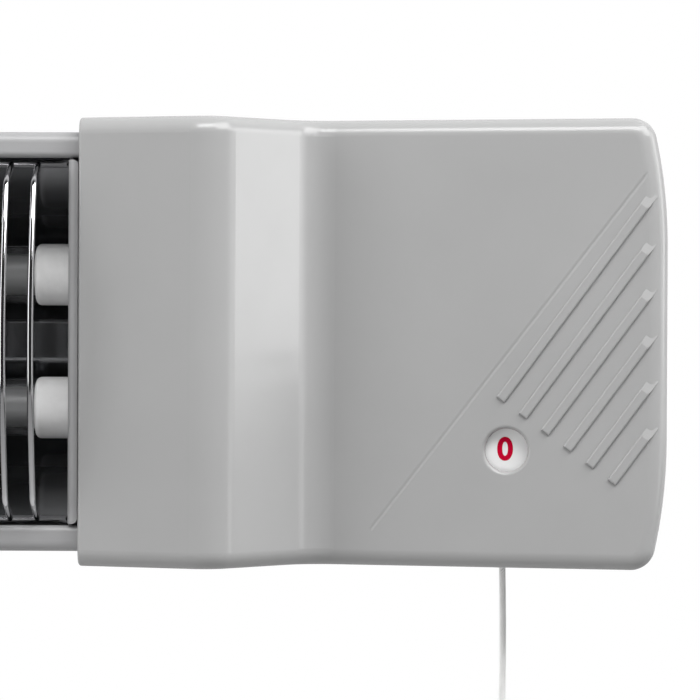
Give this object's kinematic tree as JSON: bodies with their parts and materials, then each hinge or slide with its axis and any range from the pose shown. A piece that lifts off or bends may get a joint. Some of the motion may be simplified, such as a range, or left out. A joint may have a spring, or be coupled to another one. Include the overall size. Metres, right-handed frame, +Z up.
{
  "type": "wall-mounted quartz heater",
  "caption": "Wall-mounted quartz heater with a wire-guarded trough, a wave-shaped control housing, a pull-cord switch with a dial window and a tilting bracket.",
  "frame": {"origin": "on the wall, midway between the two wall screws of the bracket", "axes": "+X along the heater towards the control housing, which is on the right seen from the room; -Y into the room; +Z up"},
  "size_m": [0.5757, 0.1009, 0.2646],
  "materials": {
    "bracket_paint": "satin powder coat",
    "body_paint": "satin silver-grey paint",
    "zinc_steel": "zinc plated",
    "black_plastic": "moulded, fine grain",
    "rivet_aluminium": "plain",
    "reflector_aluminium": "polished",
    "quartz": "milky fused quartz",
    "coil_alloy": "drawn resistance wire",
    "ceramic": "unglazed white steatite",
    "guard_chrome": "chrome plated wire",
    "casing_plastic": "satin moulded light grey",
    "cover_plastic": "moulded light grey",
    "nylon": "natural moulded nylon",
    "dial_plastic": "white",
    "spring_steel": "oiled",
    "contact_brass": "plain",
    "cord_braid": "white braided polyester"
  },
  "bodies": {
    "bracket": {"wall_bracket": "bracket_paint", "pivot_bolts": "zinc_steel", "pivot_washers": "zinc_steel", "clamp_knobs": "black_plastic"},
    "heater": {"pivot_lug_right": "body_paint", "pivot_lug_left": "body_paint", "lug_rivets": "rivet_aluminium", "body_shell": "body_paint", "reflector": "reflector_aluminium", "end_plate_right": "body_paint", "end_plate_left": "body_paint", "quartz_tube_upper": "quartz", "quartz_tube_lower": "quartz", "heating_coil_upper": "coil_alloy", "heating_coil_lower": "coil_alloy", "ceramic_cap_upper_right": "ceramic", "ceramic_cap_upper_left": "ceramic", "ceramic_cap_lower_right": "ceramic", "ceramic_cap_lower_left": "ceramic", "terminal_studs": "zinc_steel", "terminal_nuts": "zinc_steel", "wire_guard": "guard_chrome", "control_housing": "casing_plastic", "control_back_cover": "cover_plastic", "control_cover_screws": "zinc_steel", "left_end_cap": "casing_plastic", "left_back_cover": "cover_plastic", "left_cover_screws": "zinc_steel", "switch_base": "black_plastic", "switch_cover": "black_plastic", "switch_screws": "zinc_steel", "return_spring": "spring_steel", "contact_blades": "contact_brass", "switch_tabs": "contact_brass", "cord_eyelet": "casing_plastic", "lead_bush": "black_plastic", "terminal_block": "nylon", "terminal_screws": "contact_brass"},
    "dial": {"ratchet_cam": "nylon", "indicator_dial": "dial_plastic"},
    "lever": {"pull_lever": "nylon"},
    "cord_slide": {"cord_eye": "nylon", "cord_inner": "cord_braid"},
    "cord": {"pull_cord": "cord_braid", "cord_pendant": "dial_plastic"}
  },
  "joints": [
    {"name": "tilt", "type": "hinge", "parent": "bracket", "child": "heater", "pos_m": [0, -0.017, -0.04], "axis": [1, 0, 0], "range_deg": [0, 35]},
    {"name": "dial_turn", "type": "hinge", "parent": "heater", "child": "dial", "pos_m": [0.31135, -0.06, -0.03], "axis": [0, -1, 0], "continuous": true},
    {"name": "cord_pull", "type": "slide", "parent": "heater", "child": "cord_slide", "axis": [0, 0, -1], "range_m": [0, 0.012], "stiffness_N_per_m": 60, "springref_m": -0.02},
    {"name": "lever_turn", "type": "hinge", "parent": "heater", "child": "lever", "pos_m": [0.31135, -0.06, -0.03], "axis": [0, -1, 0], "range_deg": [0, 60]},
    {"name": "cord_swing", "type": "hinge", "parent": "cord_slide", "child": "cord", "pos_m": [0.30015, -0.0504, -0.06265], "axis": [1, 0, 0], "range_deg": [-35, 0]}
  ],
  "couplings": [
    {"joint": "lever_turn", "follows": "cord_pull", "rad_per_m": 87.26},
    {"joint": "cord_swing", "follows": "tilt", "ratio": -1}
  ]
}
